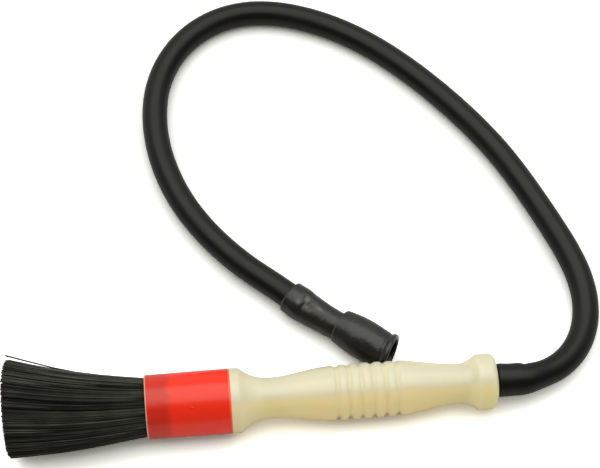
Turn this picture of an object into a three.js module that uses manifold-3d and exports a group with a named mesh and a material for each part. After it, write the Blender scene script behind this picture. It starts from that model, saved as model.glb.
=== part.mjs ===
// Parts washer brush: a flow-through brush with its feed hose and a two-stage rubber adaptor.
// Millimetres, +Z up. The brush lies along X with its bristles towards -X, resting on the floor at Z = 0.
// Brush pieces are drawn about their own axis, with X = 0 at the front edge of the ferrule.

import * as THREE from 'three';
import { mergeGeometries, mergeVertices } from 'three/addons/utils/BufferGeometryUtils.js';
import Module from 'manifold-3d';

const wasm = await Module();
wasm.setup();

// Fits: the gap drawn all round a push fit, and between two faces that butt
const FIT_GAP = 0.3;
const SEAT_GAP = 0.3;
const FLOOR_GAP = 0.05;

// Ferrule
const FERRULE_LENGTH = 41.7;
const FERRULE_FRONT_RADIUS = 15.8;
const FERRULE_REAR_RADIUS = 16.05;
const FERRULE_WALL = 1.1;
const FERRULE_EDGE = 0.35;
const NUB_RADIUS = 0.75;
const NUB_TIP_RADIUS = 0.5;
const NUB_HEIGHT = 0.4;
const NUB_POSITION = 23;
const NUB_ANGLE = THREE.MathUtils.degToRad(30);

// Handle: radii along its outline
const FRONT_COLLAR_RADIUS = 16.05;
const FRONT_WAIST_RADIUS = 10.1;
const GRIP_START_RADIUS = 13.5;
const GRIP_CROWN = 0.35;
const REAR_WAIST_RADIUS = 9.95;
const END_COLLAR_RADIUS = 13.95;

// Handle: lengths of its stretches, from the ferrule's rear edge to the hose end
const FRONT_COLLAR_LENGTH = 4.4;
const COVE_LENGTH = 15.6;
const SWELL_LENGTH = 28.4;
const GRIP_LENGTH = 38;
const REAR_TAPER_LENGTH = 26.8;
const FLARE_LENGTH = 10;
const END_COLLAR_LENGTH = 5.4;
const END_ROUND_LENGTH = 3.4;
const END_ROUND_DEPTH = 4;

// Handle: grip grooves
const GROOVE_COUNT = 6;
const GROOVE_PITCH = 5.95;
const GROOVE_WIDTH = 3.2;
const GROOVE_DEPTH = 1.05;

// Handle: inside
const BORE_RADIUS = 3.6;
const SPIGOT_CHAMFER = 1;
const TUBE_SEAT_DEPTH = 12;
const BARB_SEAT_DEPTH = 14;

// Flow tube, from the handle's bore into the middle of the tuft
const TUBE_RADIUS = 4.3;
const TUBE_BORE_RADIUS = 3;
const TUBE_REACH = 14;
const TUBE_CHAMFER = 0.5;

// Bristles and the resin that they are set in
const BRISTLE_LENGTH = 68;
const TUFT_ROOT_RADIUS = 14.3;
const TUFT_TIP_RADIUS = 23.8;
const FLARE_POWER = 1.15;
const FLOOR_LIFT_SHARE = 0.8;
const TUFT_LEAN = 2.1;
const ROW_PITCH = 1.3;
const STRAND_PITCH = 1.43;
const FIRST_ROW_RADIUS = 6;
const ROWS_PER_RING = { bristles_inner: 3, bristles_middle: 2, bristles_outer: 2 };
const STRAND_RADIUS = 0.44;
const STRAND_TIP_RADIUS = 0.6;
const RESIN_DEPTH = 6;
const RESIN_THICKNESS = 6;
const SET_DEPTH = 3;
const STRAIGHT_LENGTH = 1;

// Hose barb
const BARB_SHANK_RADIUS = 5;
const BARB_CREST_RADIUS = 4.2;
const BARB_ROOT_RADIUS = 3.6;
const BARB_BORE_RADIUS = 2.4;
const BARB_PITCH = 4.6;
const BARB_COUNT = 3;
const BARB_FLAT = 0.5;
const BARB_STAND_OFF = 1;

// Hose
const HOSE_RADIUS = 6.5;
const HOSE_BORE_RADIUS = 4.2;
const HOSE_SIDES = 10;
const HOSE_STEPS = 44;
const HOSE_STRETCH = 0.2;
const HOSE_STRETCH_LENGTH = 26;
const HOSE_PAST_BARB = 2;
const HOSE_RUN_IN = 9;

// Reducer sleeve on the hose's far end
const SLEEVE_LENGTH = 42;
const SLEEVE_OVER_HOSE = 9.2;
const SLEEVE_RIM_RADIUS = 8.35;
const SLEEVE_SHOULDER_RADIUS = 8.1;
const SLEEVE_NECK_RADIUS = 7.5;
const SLEEVE_BORE_RADIUS = 5.7;
const SLEEVE_STEP_LENGTH = 2.6;
const SLEEVE_ROUND = 0.6;

// Tap cuff on the sleeve's end
const CUFF_LENGTH = 28.2;
const CUFF_OVERLAP = 11;
const CUFF_RIM_RADIUS = 8.6;
const CUFF_BELL_RADIUS = 9.75;
const CUFF_LIP_RADIUS = 10.4;
const CUFF_LIP_LENGTH = 4.2;
const CUFF_SOCKET_RADIUS = 8.4;
const CUFF_LIP_ROUND = 1.3;
const CUFF_RING_RADIUS = 9.95;
const CUFF_MOUTH_RADIUS = 9;
const CUFF_MOUTH_LEAD = 1.2;
const CUFF_ROUND = 0.5;

// Where the adaptor lies on the floor, and which way it points
const ADAPTOR_X = 76;
const ADAPTOR_Y = 58.6;
const ADAPTOR_HEADING = THREE.MathUtils.degToRad(-38.2);

// The hose's way round from the handle to the adaptor
const HOSE_ROUTE = [
  [205.5, 5.6, 10.8],
  [216.5, 15.4, 8.8],
  [223.6, 28.4, 7.3],
  [226.5, 43, 6.7],
  [225.6, 58, 6.6],
  [221.8, 73, 6.6],
  [216, 88.7, 6.6],
  [209.5, 104.5, 6.6],
  [202.5, 120.2, 6.6],
  [194.7, 135.5, 6.6],
  [185.7, 150.2, 6.6],
  [175.7, 164.4, 6.6],
  [165, 178, 6.6],
  [153.4, 191.2, 6.6],
  [141, 203.6, 6.6],
  [127.7, 214.7, 6.6],
  [113.3, 224.2, 6.6],
  [98, 231.6, 6.6],
  [81.8, 236.5, 6.6],
  [65, 237.6, 6.6],
  [48.6, 233.6, 6.6],
  [33.8, 224.2, 6.6],
  [22.1, 210, 6.6],
  [14.7, 192.3, 6.6],
  [12.2, 173.2, 6.6],
  [13.5, 154.2, 6.6],
  [17.9, 136, 6.6],
  [24.7, 119.3, 6.6],
  [33.5, 104.2, 6.6],
  [43.7, 90.6, 6.7],
  [54.8, 78.4, 7.2],
];

// Facets round a turned piece
const HANDLE_SIDES = 32;
const FITTING_SIDES = 28;
const INNER_SIDES = 20;

// Sizes worked out from those above
const ferruleBore = FERRULE_FRONT_RADIUS - FERRULE_WALL;
const collarEnd = FERRULE_LENGTH + FRONT_COLLAR_LENGTH;
const frontWaist = collarEnd + COVE_LENGTH;
const gripStart = frontWaist + SWELL_LENGTH;
const gripEnd = gripStart + GRIP_LENGTH;
const rearWaist = gripEnd + REAR_TAPER_LENGTH;
const endCollarStart = rearWaist + FLARE_LENGTH;
const endCollarEnd = endCollarStart + END_COLLAR_LENGTH;
const handleEnd = endCollarEnd + END_ROUND_LENGTH;
const spigotFront = RESIN_DEPTH + RESIN_THICKNESS + SEAT_GAP;
const barbReach = BARB_STAND_OFF + BARB_COUNT * BARB_PITCH;
const firstGroove = gripStart + (GRIP_LENGTH - (GROOVE_COUNT - 1) * GROOVE_PITCH) / 2;
const cuffStart = SLEEVE_LENGTH - CUFF_OVERLAP;
const adaptorLength = cuffStart + CUFF_LENGTH;

const RED_PLASTIC = { color: 0xd8301c, roughness: 0.32, metalness: 0 };
const CREAM_PLASTIC = { color: 0xe6d9b0, roughness: 0.45, metalness: 0 };
const BLACK_FILAMENT = { color: 0x151515, roughness: 0.5, metalness: 0 };
const BLACK_RUBBER = { color: 0x1d1d1b, roughness: 0.6, metalness: 0 };
const GREY_RUBBER = { color: 0x2b2b29, roughness: 0.65, metalness: 0 };
const CLEAR_PLASTIC = { color: 0xd9d6cc, roughness: 0.4, metalness: 0 };

// A mesh with its own material
function piece(name, geometry, finish) {
  const mesh = new THREE.Mesh(geometry, new THREE.MeshStandardMaterial(finish));
  mesh.name = name;
  return mesh;
}

// Only positions, with shared corners
function welded(geometry) {
  const bare = new THREE.BufferGeometry();
  bare.setAttribute('position', geometry.getAttribute('position'));
  if (geometry.index) {
    bare.setIndex(geometry.index);
  }
  return mergeVertices(bare, 1e-4);
}

// A closed outline of [x, radius] points turned about X: forwards along the outside, back along the inside
function turned(outline, sides) {
  const points = [...outline, outline[0]].map(([x, radius]) => new THREE.Vector2(radius, x));
  const lathe = new THREE.LatheGeometry(points, sides);
  lathe.rotateZ(-Math.PI / 2);
  return welded(lathe);
}

// Points along a curve that leaves and meets its ends level
function easedCurve(from, to, leave, meet, steps) {
  const [x0, r0] = from;
  const [x1, r1] = to;
  const curve = new THREE.CubicBezierCurve(
    new THREE.Vector2(x0, r0),
    new THREE.Vector2(x0 + leave.along * (x1 - x0), r0 + leave.across * (r1 - r0)),
    new THREE.Vector2(x1 - meet.along * (x1 - x0), r1 - meet.across * (r1 - r0)),
    new THREE.Vector2(x1, r1),
  );
  return curve.getPoints(steps).map((point) => [point.x, point.y]);
}

// A quarter round from one point to another, starting along X
function quarterRound(from, to, steps) {
  const [x0, r0] = from;
  const [x1, r1] = to;
  const points = [];
  for (let i = 0; i <= steps; i += 1) {
    const angle = (i / steps) * (Math.PI / 2);
    points.push([x0 + (x1 - x0) * Math.sin(angle), r1 + (r0 - r1) * Math.cos(angle)]);
  }
  return points;
}

// The rounded front edge of a sleeve whose rim starts at x
function roundedRim(x, radius, round) {
  return quarterRound([x + round, radius], [x, radius - round], 2).reverse();
}

function toManifold(geometry) {
  const mesh = welded(geometry);
  return new wasm.Manifold(
    new wasm.Mesh({
      numProp: 3,
      vertProperties: mesh.getAttribute('position').array,
      triVerts: new Uint32Array(mesh.index.array),
    }),
  );
}

function fused(first, second) {
  const result = toManifold(first).add(toManifold(second)).getMesh();
  const geometry = new THREE.BufferGeometry();
  geometry.setAttribute('position', new THREE.BufferAttribute(result.vertProperties, 3));
  geometry.setIndex(new THREE.BufferAttribute(result.triVerts, 1));
  return geometry;
}

// Ferrule: a slightly tapered sleeve with a moulding nub on its side
function ferrule() {
  const sleeve = turned(
    [
      [0, ferruleBore],
      [0, FERRULE_FRONT_RADIUS - FERRULE_EDGE],
      [FERRULE_EDGE, FERRULE_FRONT_RADIUS],
      [FERRULE_LENGTH - FERRULE_EDGE, FERRULE_REAR_RADIUS],
      [FERRULE_LENGTH, FERRULE_REAR_RADIUS - FERRULE_EDGE],
      [FERRULE_LENGTH, ferruleBore],
    ],
    HANDLE_SIDES,
  );
  const nub = new THREE.CylinderGeometry(NUB_TIP_RADIUS, NUB_RADIUS, FERRULE_WALL, 10);
  nub.translate(0, FERRULE_FRONT_RADIUS + NUB_HEIGHT - FERRULE_WALL / 2, 0);
  nub.rotateX(Math.PI / 2 + NUB_ANGLE);
  nub.translate(NUB_POSITION, 0, 0);
  return fused(sleeve, nub);
}

// Radius along the grip, a shallow crown with round grooves cut in it
function gripRadius(x) {
  const across = (x - gripStart) / GRIP_LENGTH;
  const crown = GRIP_START_RADIUS + GRIP_CROWN * 4 * across * (1 - across);
  const nearest = THREE.MathUtils.clamp(Math.round((x - firstGroove) / GROOVE_PITCH), 0, GROOVE_COUNT - 1);
  const away = Math.abs(x - firstGroove - nearest * GROOVE_PITCH) / (GROOVE_WIDTH / 2);
  if (away >= 1) {
    return crown;
  }
  return crown - (GROOVE_DEPTH / 2) * (1 + Math.cos(Math.PI * away));
}

// Stations along the grip: the top and the foot of each groove's sides, and each ridge's middle
function gripPoints() {
  const points = [];
  for (let i = 0; i < GROOVE_COUNT; i += 1) {
    const middle = firstGroove + i * GROOVE_PITCH;
    for (const part of [-0.5, -0.22, 0.22, 0.5]) {
      points.push(middle + part * GROOVE_WIDTH);
    }
    if (i < GROOVE_COUNT - 1) {
      points.push(middle + GROOVE_PITCH / 2);
    }
  }
  return points.map((x) => [x, gripRadius(x)]);
}

// Handle: spigot, collar, waist, grooved grip and end collar outside; stepped bore inside
function handle() {
  const spigotRadius = ferruleBore - FIT_GAP;
  const seatStart = FERRULE_LENGTH + SEAT_GAP;
  const outside = [
    [spigotFront, spigotRadius - SPIGOT_CHAMFER],
    [spigotFront + SPIGOT_CHAMFER, spigotRadius],
    [seatStart, spigotRadius],
    [seatStart, FRONT_COLLAR_RADIUS],
    ...easedCurve(
      [collarEnd, FRONT_COLLAR_RADIUS],
      [frontWaist, FRONT_WAIST_RADIUS],
      { along: 0.13, across: 0.24 },
      { along: 0.6, across: 0 },
      7,
    ),
    ...easedCurve(
      [frontWaist, FRONT_WAIST_RADIUS],
      [gripStart, GRIP_START_RADIUS],
      { along: 0.34, across: 0 },
      { along: 0.38, across: 0.16 },
      6,
    ).slice(1),
    ...gripPoints(),
    ...easedCurve(
      [gripEnd, GRIP_START_RADIUS],
      [rearWaist, REAR_WAIST_RADIUS],
      { along: 0.3, across: 0.22 },
      { along: 0.34, across: 0.04 },
      6,
    ),
    ...easedCurve(
      [rearWaist, REAR_WAIST_RADIUS],
      [endCollarStart, END_COLLAR_RADIUS],
      { along: 0.55, across: 0 },
      { along: 0.45, across: 0 },
      6,
    ).slice(1),
    ...quarterRound(
      [endCollarEnd, END_COLLAR_RADIUS],
      [handleEnd, END_COLLAR_RADIUS - END_ROUND_DEPTH],
      4,
    ),
  ];
  const inside = [
    [handleEnd, BARB_SHANK_RADIUS + FIT_GAP],
    [handleEnd - BARB_SEAT_DEPTH, BARB_SHANK_RADIUS + FIT_GAP],
    [handleEnd - BARB_SEAT_DEPTH, BORE_RADIUS],
    [spigotFront + TUBE_SEAT_DEPTH, BORE_RADIUS],
    [spigotFront + TUBE_SEAT_DEPTH, TUBE_RADIUS + FIT_GAP],
    [spigotFront, TUBE_RADIUS + FIT_GAP],
  ];
  return turned([...outside, ...inside], HANDLE_SIDES);
}

// Flow tube: carries the fluid through the resin into the tuft
function flowTube() {
  const rear = spigotFront + TUBE_SEAT_DEPTH - SEAT_GAP;
  return turned(
    [
      [-TUBE_REACH, TUBE_BORE_RADIUS],
      [-TUBE_REACH, TUBE_RADIUS - TUBE_CHAMFER],
      [-TUBE_REACH + TUBE_CHAMFER, TUBE_RADIUS],
      [rear, TUBE_RADIUS],
      [rear, TUBE_BORE_RADIUS],
    ],
    INNER_SIDES,
  );
}

// Where a bristle that leaves the ferrule at (y, z) has got to, a distance out from the ferrule's edge.
// The tuft spreads evenly, and the floor pushes it up so that its underside stays nearly level.
function tuftPoint(y, z, out) {
  const share = Math.max(0, out) / BRISTLE_LENGTH;
  const spread = 1 + (TUFT_TIP_RADIUS / TUFT_ROOT_RADIUS - 1) * share ** FLARE_POWER;
  const lift = FLOOR_LIFT_SHARE * TUFT_ROOT_RADIUS * (spread - 1);
  const lean = TUFT_LEAN * share ** FLARE_POWER;
  return new THREE.Vector3(-out, y * spread + lean, z * spread + lift);
}

// One three-sided strand, from inside the resin to the trimmed tip
function strand(rowRadius, angle) {
  const rings = [-RESIN_DEPTH - SET_DEPTH, STRAIGHT_LENGTH, BRISTLE_LENGTH / 2, BRISTLE_LENGTH];
  const corners = [];
  for (const out of rings) {
    const share = Math.max(0, out) / BRISTLE_LENGTH;
    const radius = THREE.MathUtils.lerp(STRAND_RADIUS, STRAND_TIP_RADIUS, share);
    const middle = tuftPoint(rowRadius * Math.cos(angle), rowRadius * Math.sin(angle), out);
    for (let side = 0; side < 3; side += 1) {
      const turn = angle + Math.PI / 2 + (side * 2 * Math.PI) / 3;
      corners.push(middle.x, middle.y + radius * Math.cos(turn), middle.z + radius * Math.sin(turn));
    }
  }
  const faces = [0, 1, 2];
  for (let ring = 0; ring < rings.length - 1; ring += 1) {
    for (let side = 0; side < 3; side += 1) {
      const a = ring * 3 + side;
      const b = ring * 3 + ((side + 1) % 3);
      faces.push(a, a + 3, b + 3, a, b + 3, b);
    }
  }
  const last = (rings.length - 1) * 3;
  faces.push(last, last + 2, last + 1);
  const geometry = new THREE.BufferGeometry();
  geometry.setAttribute('position', new THREE.Float32BufferAttribute(corners, 3));
  geometry.setIndex(faces);
  return geometry;
}

// One ring of the tuft: a few rows of strands set in their own ring of resin
function bristleRing(firstRow, rowCount) {
  const strands = [];
  for (let row = firstRow; row < firstRow + rowCount; row += 1) {
    const radius = FIRST_ROW_RADIUS + row * ROW_PITCH;
    const count = Math.floor((2 * Math.PI * radius) / STRAND_PITCH);
    for (let i = 0; i < count; i += 1) {
      strands.push(strand(radius, ((i + 0.5 * (row % 2)) * 2 * Math.PI) / count));
    }
  }
  const innermost = FIRST_ROW_RADIUS + (firstRow - 0.5) * ROW_PITCH;
  const outermost = innermost + rowCount * ROW_PITCH;
  const isFirst = firstRow === 0;
  const resinInner = isFirst ? TUBE_RADIUS + FIT_GAP : innermost + FIT_GAP / 2;
  const resinOuter = Math.min(outermost - FIT_GAP / 2, ferruleBore - FIT_GAP);
  const resin = turned(
    [
      [RESIN_DEPTH, resinInner],
      [RESIN_DEPTH, resinOuter],
      [RESIN_DEPTH + RESIN_THICKNESS, resinOuter],
      [RESIN_DEPTH + RESIN_THICKNESS, resinInner],
    ],
    HANDLE_SIDES,
  );
  return fused(mergeGeometries(strands), resin);
}

// Hose barb: a shank pressed into the handle and a run of barbs for the hose
function hoseBarb() {
  const shankStart = handleEnd - BARB_SEAT_DEPTH + SEAT_GAP;
  const outside = [
    [shankStart, BARB_BORE_RADIUS],
    [shankStart, BARB_SHANK_RADIUS],
    [handleEnd - BARB_FLAT, BARB_SHANK_RADIUS],
    [handleEnd - BARB_FLAT, BARB_ROOT_RADIUS],
  ];
  for (let i = 0; i < BARB_COUNT; i += 1) {
    const crest = handleEnd + BARB_STAND_OFF + i * BARB_PITCH;
    outside.push([crest, BARB_ROOT_RADIUS]);
    outside.push([crest, BARB_CREST_RADIUS]);
    outside.push([crest + BARB_FLAT, BARB_CREST_RADIUS]);
    outside.push([crest + BARB_PITCH - BARB_FLAT, BARB_ROOT_RADIUS]);
  }
  outside.push([handleEnd + barbReach, BARB_ROOT_RADIUS]);
  outside.push([handleEnd + barbReach, BARB_BORE_RADIUS]);
  return turned(outside, INNER_SIDES);
}

// The hose's end is stretched over the barb and settles to its own size a little further on
function stretchOverBarb(geometry) {
  const points = geometry.getAttribute('position');
  const point = new THREE.Vector3();
  for (let i = 0; i < points.count; i += 1) {
    brush.worldToLocal(point.fromBufferAttribute(points, i));
    const onBarb = Math.hypot(point.y, point.z) < 2 * HOSE_RADIUS;
    const past = (point.x - handleEnd) / HOSE_STRETCH_LENGTH;
    const stretch = onBarb ? 1 + HOSE_STRETCH * (1 - THREE.MathUtils.smoothstep(past, 0.5, 1)) : 1;
    point.y *= stretch;
    point.z *= stretch;
    brush.localToWorld(point);
    points.setXYZ(i, point.x, point.y, point.z);
  }
  return geometry;
}

// Hose: a round tube swept along its route
function hose(curve) {
  const ring = (radius) => {
    const points = [];
    for (let i = 0; i < HOSE_SIDES; i += 1) {
      const angle = (i * 2 * Math.PI) / HOSE_SIDES;
      points.push(new THREE.Vector2(radius * Math.cos(angle), radius * Math.sin(angle)));
    }
    return points;
  };
  const section = new THREE.Shape(ring(HOSE_RADIUS));
  section.holes.push(new THREE.Path(ring(HOSE_BORE_RADIUS).reverse()));
  const tube = new THREE.ExtrudeGeometry(section, { steps: HOSE_STEPS, extrudePath: curve });
  return stretchOverBarb(welded(tube));
}

// Reducer sleeve: stretched over the hose end, then a narrower neck
function reducerSleeve() {
  const stepStart = SLEEVE_OVER_HOSE - SLEEVE_STEP_LENGTH / 2;
  const outside = [
    ...roundedRim(0, SLEEVE_RIM_RADIUS, SLEEVE_ROUND),
    [stepStart, SLEEVE_RIM_RADIUS],
    ...easedCurve(
      [stepStart + SLEEVE_STEP_LENGTH, SLEEVE_SHOULDER_RADIUS],
      [cuffStart, SLEEVE_NECK_RADIUS],
      { along: 0.3, across: 0.4 },
      { along: 0.4, across: 0 },
      4,
    ),
    [SLEEVE_LENGTH - SLEEVE_ROUND, SLEEVE_NECK_RADIUS],
    [SLEEVE_LENGTH, SLEEVE_NECK_RADIUS - SLEEVE_ROUND],
  ];
  const inside = [
    [SLEEVE_LENGTH, SLEEVE_BORE_RADIUS],
    [SLEEVE_OVER_HOSE + SEAT_GAP, SLEEVE_BORE_RADIUS],
    [SLEEVE_OVER_HOSE + SEAT_GAP, HOSE_RADIUS + FIT_GAP],
    [0, HOSE_RADIUS + FIT_GAP],
  ];
  return turned([...outside, ...inside], FITTING_SIDES);
}

// Tap cuff: grips the sleeve's neck, bells out and ends in a rounded lip round its socket
function tapCuff() {
  const mouth = adaptorLength;
  const lipStart = mouth - CUFF_LIP_LENGTH;
  const grip = SLEEVE_NECK_RADIUS + FIT_GAP;
  const outside = [
    ...roundedRim(cuffStart, CUFF_RIM_RADIUS, CUFF_ROUND),
    ...easedCurve(
      [cuffStart + CUFF_ROUND, CUFF_RIM_RADIUS],
      [lipStart, CUFF_BELL_RADIUS],
      { along: 0.3, across: 0.45 },
      { along: 0.4, across: 0 },
      6,
    ).slice(1),
    ...easedCurve(
      [lipStart, CUFF_BELL_RADIUS],
      [mouth - CUFF_LIP_ROUND, CUFF_LIP_RADIUS],
      { along: 0.5, across: 0 },
      { along: 0.4, across: 0 },
      3,
    ).slice(1),
    ...quarterRound([mouth - CUFF_LIP_ROUND, CUFF_LIP_RADIUS], [mouth, CUFF_RING_RADIUS], 2).slice(1),
  ];
  const inside = [
    [mouth, CUFF_MOUTH_RADIUS],
    [mouth - CUFF_MOUTH_LEAD, CUFF_SOCKET_RADIUS],
    [SLEEVE_LENGTH + CUFF_LIP_LENGTH, CUFF_SOCKET_RADIUS],
    [SLEEVE_LENGTH + SEAT_GAP, grip],
    [cuffStart, grip],
  ];
  return turned([...outside, ...inside], FITTING_SIDES);
}

// The brush, tipped so that its front collar and its end collar both touch the floor
const brush = new THREE.Group();
brush.add(piece('handle', handle(), CREAM_PLASTIC));
brush.add(piece('ferrule', ferrule(), RED_PLASTIC));
brush.add(piece('flow_tube', flowTube(), CLEAR_PLASTIC));
brush.add(piece('hose_barb', hoseBarb(), CLEAR_PLASTIC));
let row = 0;
for (const [name, rowCount] of Object.entries(ROWS_PER_RING)) {
  brush.add(piece(name, bristleRing(row, rowCount), BLACK_FILAMENT));
  row += rowCount;
}
const brushTip = Math.atan2(FRONT_COLLAR_RADIUS - END_COLLAR_RADIUS, endCollarEnd - collarEnd);
brush.rotation.y = brushTip;
brush.position.z = collarEnd * Math.sin(brushTip) + FRONT_COLLAR_RADIUS * Math.cos(brushTip);
brush.updateMatrixWorld(true);

// The adaptor, tipped so that its sleeve's rim and its cuff's lip both lie on the floor
const adaptor = new THREE.Group();
adaptor.add(piece('reducer_sleeve', reducerSleeve(), GREY_RUBBER));
adaptor.add(piece('tap_cuff', tapCuff(), GREY_RUBBER));
const adaptorTip = Math.atan2(
  CUFF_LIP_RADIUS - SLEEVE_RIM_RADIUS,
  adaptorLength - CUFF_LIP_ROUND - SLEEVE_ROUND,
);
adaptor.rotation.set(0, -adaptorTip, ADAPTOR_HEADING, 'ZYX');
adaptor.position.set(ADAPTOR_X, ADAPTOR_Y, SLEEVE_RIM_RADIUS + FLOOR_GAP);
adaptor.updateMatrixWorld(true);

// The hose leaves the handle along the barb, follows its route, and enters the sleeve along the adaptor
const alongBrush = (x) => brush.localToWorld(new THREE.Vector3(x, 0, 0));
const alongAdaptor = (x) => adaptor.localToWorld(new THREE.Vector3(x, 0, 0));
const hoseCurve = new THREE.CatmullRomCurve3(
  [
    alongBrush(handleEnd + SEAT_GAP),
    alongBrush(handleEnd + barbReach / 2),
    alongBrush(handleEnd + barbReach + HOSE_PAST_BARB),
    ...HOSE_ROUTE.map(([x, y, z]) => new THREE.Vector3(x, y, z)),
    alongAdaptor(-HOSE_RUN_IN),
    alongAdaptor(0),
    alongAdaptor(SLEEVE_OVER_HOSE),
  ],
  false,
  'centripetal',
);
hoseCurve.arcLengthDivisions = 800;

// The origin is the bottom centre of the box round the brush alone
const box = new THREE.Box3().setFromObject(brush, true);
const partsWasherBrush = new THREE.Group();
partsWasherBrush.name = 'parts_washer_brush';
partsWasherBrush.add(brush, adaptor, piece('hose', hose(hoseCurve), BLACK_RUBBER));
partsWasherBrush.position.set(-(box.min.x + box.max.x) / 2, -(box.min.y + box.max.y) / 2, -box.min.z);

export default partsWasherBrush;
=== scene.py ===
"""Looks of a flow-through parts washer brush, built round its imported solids.

Sizes of the sub-assemblies are in millimetres along each one's own axis, unless they say metres.
Sizes of the finishes, the hose's route and the studio are in metres, in the part's frame.
"""

import logging
import math
import random
from dataclasses import dataclass, field
from enum import Enum

import bmesh
import bpy
from mathutils import Matrix, Vector, noise
from mathutils.geometry import interpolate_bezier


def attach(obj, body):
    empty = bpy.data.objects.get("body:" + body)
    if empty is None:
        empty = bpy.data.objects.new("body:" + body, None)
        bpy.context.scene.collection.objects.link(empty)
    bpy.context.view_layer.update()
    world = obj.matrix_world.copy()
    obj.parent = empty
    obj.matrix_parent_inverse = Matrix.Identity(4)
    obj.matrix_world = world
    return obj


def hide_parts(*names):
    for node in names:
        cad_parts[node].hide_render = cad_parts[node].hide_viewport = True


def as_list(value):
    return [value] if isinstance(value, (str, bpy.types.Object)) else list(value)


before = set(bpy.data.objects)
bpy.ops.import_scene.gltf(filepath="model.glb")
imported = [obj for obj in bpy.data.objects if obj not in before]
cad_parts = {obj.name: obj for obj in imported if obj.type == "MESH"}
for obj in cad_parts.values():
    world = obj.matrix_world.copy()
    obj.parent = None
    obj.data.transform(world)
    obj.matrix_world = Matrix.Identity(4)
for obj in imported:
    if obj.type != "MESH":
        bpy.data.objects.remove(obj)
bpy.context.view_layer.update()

MM = 0.001
WELD_MM = 1e-4
HOSE_WELD_M = 1e-6
ROOT = "root"
GOLDEN_ANGLE = math.pi * (3 - math.sqrt(5))
PLASTIC_IOR = 1.5
FULL = (0.0, 1.0)

Pair = tuple[float, float]
Triple = tuple[float, float, float]
Colour = tuple[float, float, float]
Outline = list[Pair]
Leg = tuple[Pair, Pair, Pair, int]
Line = list[Vector]
Mark = tuple[float, float, float, float, float]
Values = dict[str | int, object]
Shell = bmesh.types.BMesh
Piece = bpy.types.Object
Material = bpy.types.Material
Node = bpy.types.Node
NodeTree = bpy.types.NodeTree
Socket = bpy.types.NodeSocket

log = logging.getLogger("parts_washer_brush")


class Crease(Enum):
    """How steep an edge must be to stay a crisp line in the shading, in degrees."""

    MOULDED = 55
    RUBBER = 70


@dataclass(frozen=True)
class Lie:
    """Where a sub-assembly's own axis lies in the part's frame."""

    origin: Triple
    heading_deg: float
    dip_deg: float

    def matrix(self) -> Matrix:
        """From the sub-assembly's own millimetres to the part's metres.

        Returns:
            The matrix.
        """
        heading = Matrix.Rotation(math.radians(self.heading_deg), 4, "Z")
        dip = Matrix.Rotation(math.radians(self.dip_deg), 4, "Y")
        return Matrix.Scale(MM, 4) @ Matrix.Translation(self.origin) @ heading @ dip

    def lay(self, bm: Shell) -> None:
        """Move a mesh from the sub-assembly's own frame to its place in the part."""
        bmesh.ops.transform(bm, matrix=self.matrix(), verts=bm.verts)


BRUSH_LIE = Lie((-60.138, -2.1, 16.827), 0.0, 0.9687)
ADAPTOR_LIE = Lie((15.862, 56.5, 8.4), -39.0, -2.049)


def held(value: float, low: float, high: float) -> float:
    """A value held between two limits."""
    return min(high, max(low, value))


def smooth_step(low: float, high: float, value: float) -> float:
    """Ease from 0 at low to 1 at high."""
    share = held((value - low) / (high - low), 0.0, 1.0)
    return share * share * (3 - 2 * share)


def curved(start: Pair, *legs: Leg) -> Outline:
    """Points along curves that follow one another in an outline.

    Args:
        start: First point, as (x, radius).
        legs: For each curve its end, the shares of its run and rise at which it is pulled as it
            leaves its start, the same shares counted back from its end, and its number of steps.

    Returns:
        The points, both ends included.
    """
    points = [start]
    x, radius = start
    for end, leave, meet, steps in legs:
        run, rise = end[0] - x, end[1] - radius
        first = Vector((x + leave[0] * run, radius + leave[1] * rise))
        last = Vector((end[0] - meet[0] * run, end[1] - meet[1] * rise))
        curve = interpolate_bezier(Vector((x, radius)), first, last, Vector(end), steps + 1)
        points += [(point.x, point.y) for point in curve[1:]]
        x, radius = end
    return points


def quarter(start: Pair, end: Pair, steps: int) -> Outline:
    """A quarter round from one point of an outline to another, leaving the start along X.

    Args:
        start: First point, as (x, radius).
        end: Last point.
        steps: Number of steps.

    Returns:
        The points, both ends included.
    """
    points = []
    for i in range(steps + 1):
        turn = i / steps * math.pi / 2
        across = start[0] + (end[0] - start[0]) * math.sin(turn)
        points.append((across, end[1] + (start[1] - end[1]) * math.cos(turn)))
    return points


def rim(x: float, radius: float, rounding: float, steps: int) -> Outline:
    """The rounded front edge of a sleeve that starts at x."""
    return quarter((x + rounding, radius), (x, radius - rounding), steps)[::-1]


def spun(outline: Outline, sides: int) -> Shell:
    """Spin a closed outline about X.

    Args:
        outline: Points as (x, radius), forwards along the outside and back along the inside.
        sides: Number of steps round the axis.

    Returns:
        The closed shell, in the outline's own units.
    """
    bm = bmesh.new()
    verts = [bm.verts.new((x, 0, radius)) for x, radius in outline]
    edges = [bm.edges.new(pair) for pair in zip(verts, verts[1:] + verts[:1])]
    bmesh.ops.spin(
        bm,
        geom=verts + edges,
        cent=(0, 0, 0),
        axis=(1, 0, 0),
        angle=2 * math.pi,
        steps=sides,
        use_merge=True,
    )
    bmesh.ops.remove_doubles(bm, verts=bm.verts, dist=WELD_MM)
    bmesh.ops.recalc_face_normals(bm, faces=bm.faces)
    return bm


def new_piece(bm: Shell, name: str, crease: Crease) -> Piece:
    """Turn a finished bmesh into an object at the origin.

    Args:
        bm: The mesh in the part's frame, in metres. It is freed.
        name: Name of the piece.
        crease: How steep an edge stays crisp.

    Returns:
        The linked object.
    """
    mesh = bpy.data.meshes.new(name)
    bm.to_mesh(mesh)
    bm.free()
    mesh.shade_smooth()
    mesh.set_sharp_from_angle(angle=math.radians(crease.value))
    piece = bpy.data.objects.new(name, mesh)
    bpy.context.scene.collection.objects.link(piece)
    return piece


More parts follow.
